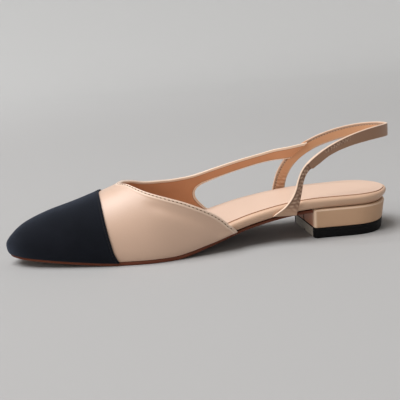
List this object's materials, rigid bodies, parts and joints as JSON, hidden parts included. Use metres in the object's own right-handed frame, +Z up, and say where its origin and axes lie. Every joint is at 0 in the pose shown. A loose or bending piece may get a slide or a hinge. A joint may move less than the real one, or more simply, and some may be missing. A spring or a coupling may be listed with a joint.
{
  "type": "slingback shoe",
  "caption": "Right-foot slingback: black cloth toe cap over a hollow pale leather vamp, outer side strap, ruched heel sling rising from the sole, and a low covered block heel.",
  "frame": {"origin": "floor point under the middle of the shoe's bounding box", "axes": "+X from toe to heel, -Y towards the inner (arch) side of the right foot, +Z up from the floor"},
  "size_m": [0.2567, 0.0767, 0.0685],
  "materials": {
    "brown_leather": "matt, dark brown sole leather",
    "pale_leather": "soft satin, pale beige",
    "sock_leather": "soft matt, pale beige",
    "upper_leather": "satin, smooth pale beige",
    "black_cloth": "matt, fine ribbed black cloth",
    "covered_heel": "satin, beige",
    "black_rubber": "matt black"
  },
  "bodies": {
    "root": {"outsole": "brown_leather", "insole": "pale_leather", "sock": "sock_leather", "upper": "upper_leather", "toe_cap": "black_cloth", "heel_block": "covered_heel", "top_piece": "black_rubber"}
  },
  "joints": []
}
